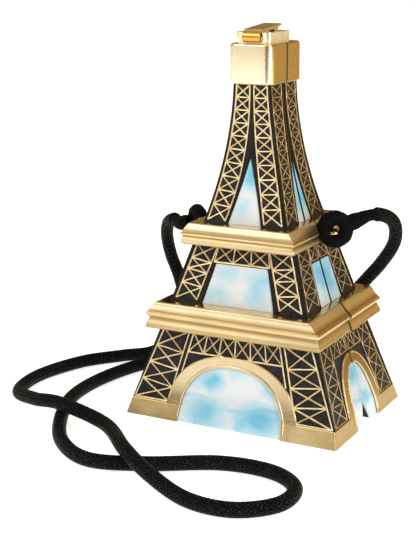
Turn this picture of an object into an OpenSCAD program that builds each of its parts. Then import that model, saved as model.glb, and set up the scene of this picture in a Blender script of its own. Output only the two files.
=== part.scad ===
// Hard-shell evening bag shaped like an iron lattice tower: two hollow halves that part on the
// plane Y = 0, hinged under the floor of the base, held by a press-lever clasp on the collar,
// with a braided cord strap on two rings. Millimetres, +Z up, front half towards -Y.

/* [Base stage] */
// Width across the gilt feet at the ground
base_w = 120; // [116:1:124]
// Depth across the gilt feet at the ground
base_d = 88; // [85:1:91]
// Height of the gilt feet
foot_h = 8.5; // [7:0.5:10]
// Half width of the black body at the underside of the lower ledge
base_top_w = 43.5; // [43:0.5:44.5]
// Half depth of the black body at the underside of the lower ledge
base_top_d = 32.9; // [32.5:0.1:33.5]
// Half width of the arched window in the front and rear
front_arch_w = 29.5; // [27:0.5:31]
// Half width of the arched window that the seam divides on each side
side_arch_w = 14; // [12:0.5:15]
// Height of the arched windows
arch_h = 30.8; // [28:0.1:32]
// Width of the gilt band at the crown of the arches
arch_band = 5.8; // [4:0.1:6]

/* [Middle stage and ledges] */
// Height of the underside of the lower ledge
lower_ledge_z = 47.6; // [47:0.1:48]
// Height of the flat top of the lower ledge
middle_z = 61.8; // [61:0.1:62.4]
// Height of the underside of the upper ledge
upper_ledge_z = 92.4; // [92:0.1:93]
// Height of the flat top of the upper ledge
spire_z = 103; // [102.5:0.1:104]
// Height of the top edge of the middle windows
middle_window_z = 82.4; // [80:0.1:84]

/* [Spire, collar and clasp] */
// Height of the underside of the collar
collar_z = 172.5; // [171:0.5:174]
// Width of the collar
collar_w = 24.4; // [22:0.1:25]
// Depth of the collar over both halves
collar_d = 36; // [34:0.1:36]
// Height of the collar
collar_h = 20; // [18:0.5:22]
// Height of the apex of the spire windows
spire_window_z = 136; // [130:1:140]
// Depth of the clasp over both blocks
clasp_w = 19.2; // [18.8:0.1:20]
// Height of the clasp blocks
clasp_h = 5.4; // [5.4:0.1:6]

/* [Shell] */
// Thickness of the side and front walls, measured level
wall = 4.5; // [4:0.1:5]
// Thickness of the cloth lining
lining_t = 0.8; // [0.6:0.1:1]
// Height of the floor inside the bag
floor_z = 9.9; // [9.9:0.1:9.9]
// Opening between the two halves all the way up the seam
seam_gap = 0.3; // [0.3:0.05:0.5]

/* [Hinge] */
// Height of the hinge pin
hinge_z = 12.5; // [12.5:0.1:12.5]
// Half width of the notch under the hinge pin at the ground
notch_y = 6; // [5.5:0.1:6.5]
// Radius of the hinge knuckles
knuckle_r = 2.6; // [2.6:0.1:2.6]
// Radius of the hinge pin
hinge_pin_r = 1; // [0.9:0.05:1.1]

/* [Strap] */
// Diameter of the braided cord
cord_d = 7.3; // [7:0.1:7.4]
// Sideways reach of the centres of the two strap rings
ring_x = 35.9; // [35.9:0.1:36.5]
// Distance of the two rings behind the seam
ring_y = 4.2; // [4.2:0.1:5]
// Height of the two rings
ring_z = 97.9; // [97.5:0.1:98.5]

/* [Hidden] */
$fn = 64;
front = -1;
rear = 1;
sides = [-1, 1];
far = 160;
gilt_t = 0.6;
panel_sink = 0.3;
panel_depth = 1.8;
rear_ledge_proud = 0.4;

// Each level of a stack is [height, half width, half depth]; a fourth number, in a cavity, is the
// way that its lining lies from it: 1 above a floor, -1 below a ceiling.
spire_base = [22.7, 24];
spire_top = [9.9, 15.2];
spire_steps = 10;
function spire_share(z) = max(0, (collar_z - z) / (collar_z - spire_z));
function spire_w(z) = spire_top[0] + (spire_base[0] - spire_top[0]) * pow(spire_share(z), 1.55);
function spire_d(z) = spire_top[1] + (spire_base[1] - spire_top[1]) * pow(spire_share(z), 2.6);
function spire_levels(z0, z1, n) = [for (i = [0:n]) let (z = z0 + (z1 - z0) * i / n) [z, spire_w(z), spire_d(z)]];

middle_base = [38, 31.9];
middle_top = [28.4, 24.4];
body_levels = concat([
    [0, base_w / 2 - gilt_t, base_d / 2 - gilt_t],
    [foot_h, base_w / 2 - 2.6, base_d / 2 - 4],
    [lower_ledge_z, base_top_w, base_top_d],
    [lower_ledge_z, middle_base[0], middle_base[1]],
    [middle_z, middle_base[0], middle_base[1]],
    [upper_ledge_z, middle_top[0], middle_top[1]],
    [upper_ledge_z, spire_base[0], spire_base[1]]
  ], spire_levels(spire_z, collar_z, spire_steps));

ceiling_t = 3;
cavity_top = 158;
cavity_levels = concat([
    [floor_z, base_w / 2 - 3.2 - wall, base_d / 2 - 4.3 - wall, 1],
    [lower_ledge_z - ceiling_t, base_top_w + 1 - wall, base_top_d + 0.5 - wall, -1],
    [lower_ledge_z - ceiling_t, middle_base[0] - wall, middle_base[1] - wall, -1],
    [middle_z + 1, middle_base[0] - 0.4 - wall, middle_base[1] - 0.3 - wall, 0],
    [upper_ledge_z - ceiling_t, middle_top[0] + 0.9 - wall, middle_top[1] + 0.7 - wall, -1],
    [upper_ledge_z - ceiling_t, spire_base[0] - wall, spire_base[1] - wall, -1]
  ], [for (l = spire_levels(spire_z + 1, cavity_top, 5)) [l[0], l[1] - wall, l[2] - wall, l[0] < cavity_top ? 0 : -1]]);

lower_ledge_levels = [
  [0, -1, -0.8], [0.8, 0, 0], [2.4, -0.6, -0.4], [5, -1.6, -1.4], [6, -1.7, -1.4], [7, -0.6, -0.2],
  [8, -0.3, 0.2], [9, -0.8, -0.3], [10, -2.6, -0.8], [11.2, -4.6, -0.4], [13.4, -5.5, -0.5], [14.2, -6, -1]
];
upper_ledge_levels = [
  [0, -0.6, -0.5], [0.8, 0, 0], [2.6, -0.2, -0.3], [4, -0.5, -0.8], [4.8, -0.3, -0.6], [6, 0.4, 0.3],
  [6.9, 0, -0.2], [7.8, -1.7, -1.5], [9.1, -2.6, -1.7], [10.1, -3, -2], [10.6, -3.5, -2.4]
];
lower_ledge_edge = [49.2, 41];
upper_ledge_edge = [31.6, 33.6];

function grown(levels, by) = [for (l = levels) [l[0], l[1] + by, l[2] + by]];
function below(levels, top) = [for (l = levels) if (l[0] <= top) l];
function lined(levels) = [for (l = levels) [l[0] + l[3] * lining_t, l[1] - lining_t, l[2] - lining_t]];
function moulding(profile, z, h, edge, proud) =
  [for (p = profile) [z + p[0] * h / profile[len(profile) - 1][0], edge[0] + p[1] + proud, edge[1] + p[2]]];
function outline(levels, axis) = concat(
  [for (l = levels) [l[axis], l[0]]],
  [for (i = [len(levels) - 1:-1:0]) [-levels[i][axis], levels[i][0]]]);

// A solid whose plan at every height is a rectangle of that level's width and depth.
module stack(levels) {
  intersection() {
    along_y(2 * far) polygon(outline(levels, 1));
    along_x(2 * far) polygon(outline(levels, 2));
  }
}

// Extrudes a drawing in X and Z along Y, and one in Y and Z along X.
module along_y(length) { rotate([90, 0, 0]) linear_extrude(height = length, center = true) children(); }
module along_x(length) { rotate([90, 0, 90]) linear_extrude(height = length, center = true) children(); }

// The space of one half: beyond the seam, and beyond the notch under the hinge pin.
module half_space(side) {
  gap = seam_gap / 2;
  under = 5;
  notch_run = notch_y * (hinge_z + under) / hinge_z;
  along_x(2 * far) polygon([
    [side * gap, hinge_z], [side * gap, 2 * far], [side * far, 2 * far], [side * far, -under],
    [side * (gap + notch_run), -under]]);
}

module half_stack(levels, side) {
  intersection() {
    stack(levels);
    half_space(side);
  }
}

// Arch with a flat foot: a half oval that is a little squarer than an ellipse.
function arch_outline(w, h) = let (squareness = 2.3, steps = 24) concat(
  [[-w, -1]],
  [for (i = [0:steps]) let (a = 180 - 180 * i / steps, c = cos(a))
    [sign(c) * w * pow(abs(c), 2 / squareness), h * pow(sin(a), 2 / squareness)]],
  [[w, -1]]);

module front_windows() {
  polygon(arch_outline(front_arch_w, arch_h));
  polygon([[-20.2, middle_z], [-14.5, middle_window_z], [14.5, middle_window_z], [20.2, middle_z]]);
  polygon([[-9.2, spire_z], [0, spire_window_z], [9.2, spire_z]]);
}

module side_windows() {
  polygon(arch_outline(side_arch_w, arch_h));
  polygon([[-13, middle_z], [-11, middle_window_z + 1], [11, middle_window_z + 1], [13, middle_z]]);
  polygon([[-7.6, spire_z], [0, spire_window_z + 3], [7.6, spire_z]]);
}

// Every window of one half, cut from the front or rear and through both sides.
module windows(side) {
  translate([0, side * far / 2, 0]) along_y(far - 8) front_windows();
  along_x(2 * far) side_windows();
}

module shell(side) {
  difference() {
    half_stack(body_levels, side);
    stack(cavity_levels);
    difference() {
      windows(side);
      stack(grown(body_levels, -panel_depth));
    }
    hinge_screw_places(side) translate([0, 0, -screw_l]) cylinder(r = screw_r, h = screw_l + 1);
  }
}

module sky_panels(side) {
  intersection() {
    half_space(side);
    windows(side);
    difference() {
      stack(grown(body_levels, -panel_sink));
      stack(grown(body_levels, -panel_depth));
    }
  }
}

// Gilt feet that run up into a band round each arch.
module arch_feet(side) {
  crown = arch_h + arch_band;
  difference() {
    intersection() {
      stack(grown(concat(below(body_levels, foot_h), [[lower_ledge_z, base_top_w, base_top_d]]), gilt_t));
      half_space(side);
      union() {
        translate([-far, -far, 0]) cube([2 * far, 2 * far, foot_h]);
        translate([0, side * far / 2, 0]) along_y(far - 8) polygon(arch_outline(front_arch_w + 8.5, crown));
        along_x(2 * far) polygon(arch_outline(side_arch_w + 7.5, crown));
      }
    }
    stack(concat(below(body_levels, foot_h), [[lower_ledge_z, base_top_w, base_top_d]]));
    translate([0, side * far / 2, 0]) along_y(far - 8) polygon(arch_outline(front_arch_w, arch_h));
    along_x(2 * far) polygon(arch_outline(side_arch_w, arch_h));
  }
}

// One half of a moulded ledge, which fits round the neck of the shell.
module ledge(levels, neck, side) {
  difference() {
    half_stack(levels, side);
    translate([-neck[0], -neck[1], 0]) cube([2 * neck[0], 2 * neck[1], far]);
  }
}

module lower_ledge(side) {
  ledge(moulding(lower_ledge_levels, lower_ledge_z, middle_z - lower_ledge_z, lower_ledge_edge,
      side == rear ? rear_ledge_proud : 0), middle_base, side);
}

module upper_ledge(side) {
  difference() {
    ledge(moulding(upper_ledge_levels, upper_ledge_z, spire_z - upper_ledge_z, upper_ledge_edge, 0),
      spire_base, side);
    if (side == rear) for (s = sides) strap_ring(s);
  }
}

// Block with upright rounded corners, from y0 to y1, whose rounded ends are listed.
module rounded_block(w, y0, y1, h, r) {
  translate([-w / 2, y0 + r, 0]) cube([w, y1 - y0 - 2 * r, h]);
  translate([-w / 2 + r, y0, 0]) cube([w - 2 * r, y1 - y0, h]);
  for (x = [-w / 2 + r, w / 2 - r], y = [y0 + r, y1 - r]) translate([x, y, 0]) cylinder(r = r, h = h);
}

collar_corner = 3;

module collar(side) {
  translate([0, 0, collar_z]) intersection() {
    rounded_block(collar_w, -collar_d / 2, collar_d / 2, collar_h, collar_corner);
    translate([-far, side == rear ? seam_gap / 2 : -far - seam_gap / 2, -1]) cube([2 * far, far, far]);
    difference() {
      translate([-far, -far, 0]) cube(2 * far);
      peg_places(side) translate([0, 0, collar_h - peg_l]) cylinder(r = peg_r, h = far);
    }
  }
}

module lining(side) {
  difference() {
    half_stack(cavity_levels, side);
    stack(lined(cavity_levels));
    translate([-leaf_w / 2 - 1, -leaf_reach - 1, floor_z - 1]) cube([leaf_w + 2, 2 * leaf_reach + 2, 4]);
  }
}

// Butt hinge on the floor of the base: rear leaf with three knuckles, front leaf with two.
leaf_w = 60;
leaf_reach = 15;
leaf_t = 1.2;
leaf_clear = 0.6;
knuckles = 5;
knuckle_gap = 0.2;
knuckle_l = (leaf_w - (knuckles - 1) * knuckle_gap) / knuckles;
bore_clear = 0.05;
screw_r = 1.1;
screw_l = 5;
screw_head_r = 2;
screw_y = 10;
screw_xs = [-22, 0, 22];

module hinge_screw_places(side) {
  for (x = screw_xs) translate([x, side * screw_y, floor_z]) children();
}

module hinge_leaf(side) {
  first = side == rear ? 0 : 1;
  edge = knuckle_r + leaf_clear;
  difference() {
    union() {
      translate([-leaf_w / 2, side == rear ? edge : -leaf_reach, floor_z]) cube([leaf_w, leaf_reach - edge, leaf_t]);
      for (i = [first:2:knuckles - 1]) translate([-leaf_w / 2 + i * (knuckle_l + knuckle_gap), 0, 0]) {
        translate([0, side == rear ? 0 : -edge - 1, floor_z]) cube([knuckle_l, edge + 1, leaf_t]);
        translate([0, 0, hinge_z]) rotate([0, 90, 0]) cylinder(r = knuckle_r, h = knuckle_l);
      }
    }
    translate([-leaf_w, 0, hinge_z]) rotate([0, 90, 0]) cylinder(r = hinge_pin_r + bore_clear, h = 2 * leaf_w);
    hinge_screw_places(side) screw();
  }
}

module screw() {
  translate([0, 0, leaf_t - 0.9]) cylinder(r1 = screw_r, r2 = screw_head_r, h = 0.9);
  translate([0, 0, -screw_l]) cylinder(r = screw_r, h = screw_l + leaf_t - 0.9);
}

module hinge_pin() {
  translate([-leaf_w / 2, 0, hinge_z]) rotate([0, 90, 0]) cylinder(r = hinge_pin_r, h = leaf_w);
}

// Clasp: a catch block on the front collar, a lever block on the rear one, and the lever.
clasp_z = collar_z + collar_h;
clasp_front = -14.5;
clasp_rear = 9.2;
clasp_corner = 2.2;
channel_w = 10.3;
channel_floor = 1.1;
catch_t = 1;
catch_h = 3.1;
lever_w = 9.5;
claw_gap = 0.3;
claw_t = 1.2;
claw_z = 1.6;
pivot = [2.5, 3.8];
pivot_r = 0.75;
pivot_boss_r = 1.6;
tail_y = 8.6;
plate_t = 1.2;
peg_r = 1;
peg_l = 4;

module peg_places(side) {
  y = side == rear ? 5.5 : -9;
  for (x = [-7.2, 7.2]) translate([x, y, 0]) children();
}

module clasp_blank(side) {
  translate([0, 0, clasp_z]) intersection() {
    rounded_block(clasp_w, clasp_front, clasp_rear, clasp_h, clasp_corner);
    translate([-far, side == rear ? seam_gap / 2 : -far - seam_gap / 2, 0]) cube([2 * far, far, far]);
  }
  peg_places(side) translate([0, 0, clasp_z - peg_l]) cylinder(r = peg_r, h = peg_l);
}

module clasp_catch_block() {
  difference() {
    clasp_blank(front);
    translate([-channel_w / 2, clasp_front + catch_t, clasp_z + channel_floor]) cube([channel_w, far, clasp_h]);
    translate([-channel_w / 2, clasp_front - 1, clasp_z + catch_h]) cube([channel_w, far, clasp_h]);
  }
}

module clasp_lever_block() {
  rear_wall = 1.4;
  difference() {
    clasp_blank(rear);
    translate([-channel_w / 2, -1, clasp_z + channel_floor])
      cube([channel_w, clasp_rear - rear_wall + 1, clasp_h]);
    pivot_at() cylinder(r = pivot_r, h = clasp_w - 2, center = true);
  }
}

module pivot_at() {
  translate([0, pivot[0], clasp_z + pivot[1]]) rotate([0, 90, 0]) children();
}

// Side view of the lever: a rounded claw over the catch, and a plate that rises to the tail.
module lever_side() {
  face = clasp_front - claw_gap;
  polygon([
    [face, claw_z], [face - claw_t, claw_z], [face - claw_t - 0.5, 2.6], [face - claw_t - 0.6, 4],
    [face - claw_t - 0.3, 5.4], [face - claw_t + 0.3, 6.4], [face - claw_t + 1.2, 7],
    [-11, 7.2], [tail_y, 8.8], [tail_y, 8.8 - plate_t], [pivot[0] + 2.6, 7.4 - plate_t + 0.8],
    [pivot[0] + 1.2, 5], [pivot[0] - 1.2, 5], [pivot[0] - 2.2, 6.2], [-11.5, 5.2], [face + 1, 5], [face, 4.2]
  ]);
}

module clasp_lever() {
  difference() {
    union() {
      translate([0, 0, clasp_z]) along_x(lever_w) lever_side();
      pivot_at() cylinder(r = pivot_boss_r, h = lever_w, center = true);
      translate([-lever_w / 2, pivot[0] - 1.1, clasp_z + pivot[1]]) cube([lever_w, 2.2, 2]);
    }
    pivot_at() cylinder(r = pivot_r + bore_clear, h = 2 * lever_w, center = true);
  }
}

module clasp_lever_pin() { pivot_at() cylinder(r = pivot_r, h = clasp_w - 2, center = true); }

// A small compression spring under the tail of the lever.
spring_r = 1;
spring_wire = 0.25;
spring_turns = 5;
spring_y = 6.3;
spring_base = clasp_z + channel_floor;
spring_h = 5.8;

module clasp_lever_spring() {
  per_turn = 12;
  steps = per_turn * spring_turns;
  rise = spring_h - 2 * spring_wire;
  coil = [for (i = [0:steps]) let (a = 360 * i / per_turn)
    [spring_r * cos(a), spring_y + spring_r * sin(a), spring_base + spring_wire + rise * i / steps]];
  sweep(coil, unit(coil[1] - coil[0]), unit(coil[steps] - coil[steps - 1]), spring_wire, 6);
}

// Strap rings: a level ring on a round boss, with a shank in the side of the rear upper ledge.
ring_r = 4.6;
ring_wire = 1;
shank_r = 1.3;
shank_l = 6;
boss_r = 2.4;
boss_x = [30.6, 32];

module mirrored(s) { if (s < 0) mirror([1, 0, 0]) children(); else children(); }

module strap_ring(s) {
  mirrored(s) {
    translate([boss_x[0] - shank_l, ring_y, ring_z]) rotate([0, 90, 0]) cylinder(r = shank_r, h = shank_l);
    translate([boss_x[0], ring_y, ring_z]) rotate([0, 90, 0]) cylinder(r = boss_r, h = boss_x[1] - boss_x[0]);
    translate([ring_x, ring_y, ring_z]) rotate_extrude() translate([ring_r, 0]) circle(r = ring_wire);
  }
}

// The eye at each end of the cord, folded back through its ring and turned a little to the rear.
// The left one hangs from its ring, and the right one stands up under the arch of the cord.
eye_r = 5.2;
eye_cord_r = 3.1;
eye_turn = 20;
eye_play = 0.9;
function eye_at(s) = [
  s * (ring_x + ring_r * cos(eye_turn)), ring_y + ring_r * sin(eye_turn), ring_z + s * eye_play];

module cord_eye(s) {
  translate(eye_at(s)) rotate([0, 0, s * eye_turn]) rotate([90, 0, 0]) rotate_extrude()
    translate([eye_r, 0]) circle(r = eye_cord_r);
}

// The whipped neck between an eye and the braided cord.
neck_start = 5.8;
neck_r = [3.7, 3.4];
module whipping(s) {
  run = cord_end(s) - eye_at(s);
  reach = norm(run);
  difference() {
    translate(eye_at(s)) rotate([0, acos(run[2] / reach), atan2(run[1], run[0])]) translate([0, 0, neck_start])
      cylinder(r1 = neck_r[0], r2 = neck_r[1], h = reach - neck_start);
    cord_eye(s);
    strap_ring(s);
  }
}

// Middle line of the strap from the left neck to the right one.
cord_route = [
  [-55, 9, 92.5], [-63.5, 15.5, 92.6], [-72, 23.5, 88], [-77.3, 31, 78.5], [-79, 38, 66], [-77, 43.3, 52],
  [-75.5, 48, 33], [-80.5, 49, 15.5], [-93, 40, 4.8], [-107, 27, 3.7], [-122, 7, 3.7], [-130, -24, 3.7],
  [-122.5, -53, 5], [-102, -66.5, 8.2], [-81, -73, 11.2], [-48.5, -81.5, 8.6], [-19, -110, 11.2],
  [2, -122.5, 7.4], [26, -131.5, 3.9], [49, -131.5, 3.7], [64.5, -117.5, 3.7], [63.5, -99, 3.7],
  [46.5, -87.5, 3.7], [20, -89, 3.7], [-11, -105.5, 3.7], [-38, -113, 3.7], [-62, -99.5, 3.7],
  [-81, -73, 3.7], [-94, -42, 3.7], [-94.5, -6, 3.7], [-83, 29, 3.7], [-58, 54, 3.8], [-30, 63, 4.4],
  [-7, 61, 11], [33, 52.5, 57.5], [47, 47.5, 73.5], [56, 41.5, 87], [58.5, 33, 99], [55, 22.5, 105],
  [48, 13, 104]
];
function cord_end(s) = cord_route[s < 0 ? 0 : len(cord_route) - 1];
rings_per_span = 2;

function unit(v) = v / norm(v);
function curve_point(a, b, c, d, t) =
  (2 * b + (c - a) * t + (2 * a - 5 * b + 4 * c - d) * t * t + (3 * b - a - 3 * c + d) * t * t * t) / 2;

// A smooth curve through the points, which starts along one direction and ends along another.
function smooth(points, start_dir, end_dir, n) = let (
    last = len(points) - 1,
    before = points[1] - 2 * norm(points[1] - points[0]) * start_dir,
    after = points[last - 1] + 2 * norm(points[last] - points[last - 1]) * end_dir,
    p = concat([before], points, [after])
  ) concat(
    [for (i = [1:last], k = [0:n - 1]) curve_point(p[i - 1], p[i], p[i + 1], p[i + 2], k / n)],
    [points[last]]);
function upright(t, n) = unit(n - (n * t) * t);

// A tube of even radius along a list of points, in one closed solid with square ends.
module sweep(p, start_dir, end_dir, r, n) {
  last = len(p) - 1;
  along = [for (i = [0:last]) i == 0 ? start_dir : i == last ? end_dir : unit(p[i + 1] - p[i - 1])];
  start = upright(along[0], [0.1, 0.2, 1]);
  normals = [for (i = 0, v = start; i <= last; i = i + 1, v = i <= last ? upright(along[i], v) : v) v];
  points = [for (i = [0:last], k = [0:n - 1]) let (a = 360 * k / n)
    p[i] + r * (cos(a) * normals[i] + sin(a) * cross(along[i], normals[i]))];
  walls = [for (i = [0:last - 1], k = [0:n - 1]) let (m = (k + 1) % n)
    each [[i * n + k, (i + 1) * n + k, (i + 1) * n + m], [i * n + k, (i + 1) * n + m, i * n + m]]];
  polyhedron(points, concat(walls, [[for (k = [0:n - 1]) k], [for (k = [n - 1:-1:0]) last * n + k]]));
}

module strap_cord() {
  start_dir = unit(cord_end(-1) - eye_at(-1));
  end_dir = unit(eye_at(1) - cord_end(1));
  sweep(smooth(cord_route, start_dir, end_dir, rings_per_span), start_dir, end_dir, cord_d / 2, 10);
}

black = [0.13, 0.13, 0.14];
gilt = [0.80, 0.64, 0.35];
sky = [0.72, 0.86, 0.91];
polished = [0.86, 0.74, 0.47];
cloth = [0.08, 0.08, 0.09];

color(black) shell(front);  // front_shell
color(black) shell(rear);  // rear_shell
color(gilt) arch_feet(front);  // front_arch_feet
color(gilt) arch_feet(rear);  // rear_arch_feet
color(sky) sky_panels(front);  // front_sky_panels
color(sky) sky_panels(rear);  // rear_sky_panels
color(gilt) lower_ledge(front);  // front_lower_ledge
color(gilt) lower_ledge(rear);  // rear_lower_ledge
color(gilt) upper_ledge(front);  // front_upper_ledge
color(gilt) upper_ledge(rear);  // rear_upper_ledge
color(gilt) collar(front);  // front_collar
color(gilt) collar(rear);  // rear_collar
color(cloth) lining(front);  // front_lining
color(cloth) lining(rear);  // rear_lining
color(polished) hinge_leaf(front);  // front_hinge_leaf
color(polished) hinge_leaf(rear);  // rear_hinge_leaf
color(polished) hinge_pin();
color(polished) hinge_screw_places(front) screw();  // front_hinge_screws
color(polished) hinge_screw_places(rear) screw();  // rear_hinge_screws
color(polished) clasp_catch_block();
color(polished) clasp_lever_block();
color(polished) clasp_lever();
color(polished) clasp_lever_pin();
color(polished) clasp_lever_spring();
color(polished) strap_ring(-1);  // left_strap_ring
color(polished) strap_ring(1);  // right_strap_ring
color(cloth) cord_eye(-1);  // left_cord_eye
color(cloth) cord_eye(1);  // right_cord_eye
color(cloth) whipping(-1);  // left_whipping
color(cloth) whipping(1);  // right_whipping
color(cloth) strap_cord();
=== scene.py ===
"""Looks of a hard-shell evening bag shaped like an iron lattice tower, built round its CAD frame."""
import math
import random

import bmesh
import bpy
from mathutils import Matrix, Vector


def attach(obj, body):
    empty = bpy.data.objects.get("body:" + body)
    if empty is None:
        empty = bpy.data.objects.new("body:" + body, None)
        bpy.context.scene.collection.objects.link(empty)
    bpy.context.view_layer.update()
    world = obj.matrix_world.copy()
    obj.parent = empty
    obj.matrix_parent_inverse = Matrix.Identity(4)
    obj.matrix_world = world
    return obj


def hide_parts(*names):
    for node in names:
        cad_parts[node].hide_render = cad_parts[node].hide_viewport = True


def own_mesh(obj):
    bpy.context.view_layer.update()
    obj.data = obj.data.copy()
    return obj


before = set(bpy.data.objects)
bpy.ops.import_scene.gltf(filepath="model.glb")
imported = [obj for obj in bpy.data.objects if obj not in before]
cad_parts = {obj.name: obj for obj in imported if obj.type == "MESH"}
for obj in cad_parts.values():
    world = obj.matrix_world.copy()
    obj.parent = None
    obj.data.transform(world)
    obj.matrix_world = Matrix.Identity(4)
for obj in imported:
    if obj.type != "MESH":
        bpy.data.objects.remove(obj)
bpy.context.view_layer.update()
draw = random.Random(7)

# The materials and lights are in metres. The shapes are drawn in millimetres and made in metres.
MM = 0.001
FRONT, REAR = -1, 1
LEFT, RIGHT = -1, 1
SIDES = (LEFT, RIGHT)
BODY = {FRONT: "front_half", REAR: "rear_half"}
HALF = {FRONT: "front", REAR: "rear"}
HAND = {LEFT: "left", RIGHT: "right"}

# Heights of the stages of the tower, and the half gap between its halves.
BASE_TOP = 47.6
MIDDLE_LOW, MIDDLE_TOP = 61.8, 92.4
SPIRE_LOW, SPIRE_TOP = 103, 172.5
COLLAR_TOP = 192.5
SEAM = 0.15


def new_object(name, data):
    thing = bpy.data.objects.new(name, data)
    bpy.context.scene.collection.objects.link(thing)
    return thing


# ---- camera

CAMERA_PLACE = (0.28196, -0.57712, 0.23930)
CAMERA_AZIMUTH, CAMERA_ELEVATION = 26.58, 14.19
CAMERA_LENS = 85.57
CAMERA_SHIFT = (-0.0853, -0.002)


def make_camera():
    azimuth, elevation = math.radians(CAMERA_AZIMUTH), math.radians(CAMERA_ELEVATION)
    back = Vector((math.sin(azimuth) * math.cos(elevation),
                   -math.cos(azimuth) * math.cos(elevation), math.sin(elevation)))
    data = bpy.data.cameras.new("camera")
    data.lens = CAMERA_LENS
    data.shift_x, data.shift_y = CAMERA_SHIFT
    camera = new_object("camera", data)
    camera.location = CAMERA_PLACE
    camera.rotation_euler = (-back).to_track_quat("-Z", "Y").to_euler()
    bpy.context.scene.camera = camera


# ---- meshes

class Build:
    """Collects points in millimetres and faces, and makes one mesh object of them in metres."""

    def __init__(self):
        self.points = []
        self.faces = []
        self.slots = []

    def add(self, points, faces):
        first = len(self.points)
        self.points += [tuple(p) for p in points]
        self.faces += [[first + i for i in f] for f in faces]
        self.slots += [0] * len(faces)

    def loft(self, rows, slot=0, closed=True, caps=True, row_slots=None):
        """Skins rows of points that have the same count; closed joins each row's last point to its first."""
        n = len(rows[0])
        first = len(self.points)
        for row in rows:
            self.points += [tuple(p) for p in row]
        for i in range(len(rows) - 1):
            for k in range(n if closed else n - 1):
                m = (k + 1) % n
                a, b = first + i * n, first + (i + 1) * n
                self.faces.append([a + k, b + k, b + m, a + m])
                self.slots.append(row_slots[i] if row_slots else slot)
        if caps:
            last = first + (len(rows) - 1) * n
            self.faces += [list(range(first, first + n)), list(range(last + n - 1, last - 1, -1))]
            self.slots += [slot, slot]

    def make(self, name, body, materials, record_slot, smooth_deg):
        mesh = bpy.data.meshes.new(name)
        mesh.from_pydata([(x * MM, y * MM, z * MM) for x, y, z in self.points], [], self.faces)
        for material in materials:
            mesh.materials.append(material)
        mesh.polygons.foreach_set("material_index", self.slots)
        piece = new_object(name, mesh)
        tidy_normals(piece, smooth_deg)
        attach(piece, body)
        return piece


def lofted(rows, *looks):
    """One closed loft made into a piece; looks are as in Build.make."""
    build = Build()
    build.loft(rows)
    return build.make(*looks)


def tidy_normals(piece, smooth_deg):
    """Turns the faces outwards, and leaves an edge sharp where it bends by more than smooth_deg."""
    bm = bmesh.new()
    bm.from_mesh(piece.data)
    bmesh.ops.recalc_face_normals(bm, faces=bm.faces)
    limit = math.radians(smooth_deg)
    for edge in bm.edges:
        edge.smooth = len(edge.link_faces) == 2 and edge.calc_face_angle(0) < limit
    for face in bm.faces:
        face.smooth = True
    bm.to_mesh(piece.data)
    bm.free()


def lerp(a, b, t):
    return a + (b - a) * t


def along(levels, z, column):
    """The value of a stack of levels at height z, on straight lines between the levels."""
    if z <= levels[0][0]:
        return levels[0][column]
    for low, high in zip(levels, levels[1:]):
        if z <= high[0]:
            return lerp(low[column], high[column], (z - low[0]) / (high[0] - low[0]))
    return levels[-1][column]


def line(z0, u0, z1, u1):
    """A straight edge on a face: its sideways place as a function of height."""
    return lambda z: lerp(u0, u1, (z - z0) / (z1 - z0))


# ---- materials

def make_material(name, **sockets):
    m = bpy.data.materials.new(name)
    m.use_nodes = True
    shader = m.node_tree.nodes["Principled BSDF"]
    for key, value in sockets.items():
        shader.inputs[key.replace("_", " ")].default_value = value
    return m


def feed(m, socket, value):
    """Links a node's output to a socket, or sets the socket to a constant."""
    if isinstance(value, bpy.types.NodeSocket):
        m.node_tree.links.new(value, socket)
    else:
        socket.default_value = value


def add_node(m, kind, operation=None, **inputs):
    node = m.node_tree.nodes.new("ShaderNode" + kind)
    if operation:
        node.operation = operation
    for key, value in inputs.items():
        feed(m, node.inputs[key.replace("_", " ")], value)
    return node


def place_xyz(m):
    """The X, Y and Z of the shaded point, in metres."""
    place = add_node(m, "TexCoord")
    return add_node(m, "SeparateXYZ", Vector=place.outputs["Object"]).outputs


def normal_xyz(m):
    """The X, Y and Z of the direction the surface looks in."""
    facing = add_node(m, "NewGeometry")
    return add_node(m, "SeparateXYZ", Vector=facing.outputs["Normal"]).outputs


def noise(m, scale, detail, stretch=(1, 1, 1), offset=(0, 0, 0), roughness=0.5, distortion=0.0):
    place = add_node(m, "TexCoord")
    mapping = add_node(m, "Mapping", Vector=place.outputs["Object"], Scale=stretch, Location=offset)
    return add_node(m, "TexNoise", Vector=mapping.outputs["Vector"], Scale=scale, Detail=detail,
                    Roughness=roughness, Distortion=distortion).outputs["Fac"]


def ramp(m, fac, stops):
    """A colour ramp. Each stop is a place and a colour, or a number for a grey."""
    node = add_node(m, "ValToRGB", Fac=fac)
    marks = node.color_ramp.elements
    while len(marks) < len(stops):
        marks.new(0.5)
    for mark, (place, colour) in zip(marks, stops):
        mark.position = place
        mark.color = (*(colour if isinstance(colour, tuple) else (colour,) * 3), 1)
    return node.outputs["Color"]


def vary(m, fac, low, high):
    """A ramp between two tones over the middle of a noise's range."""
    return ramp(m, fac, [(0.3, low), (0.7, high)])


def calc(m, operation, a, b=0.0, c=0.0):
    node = add_node(m, "Math", operation)
    for socket, value in zip(node.inputs, (a, b, c)):
        feed(m, socket, value)
    return node.outputs["Value"]


def mix(m, fac, a, b, blend="MIX"):
    node = add_node(m, "Mix")
    node.data_type = "RGBA"
    node.blend_type = blend
    for socket, value in ((node.inputs[0], fac), (node.inputs[6], a), (node.inputs[7], b)):
        feed(m, socket, (*value, 1) if isinstance(value, tuple) else value)
    return node.outputs[2]


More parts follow.
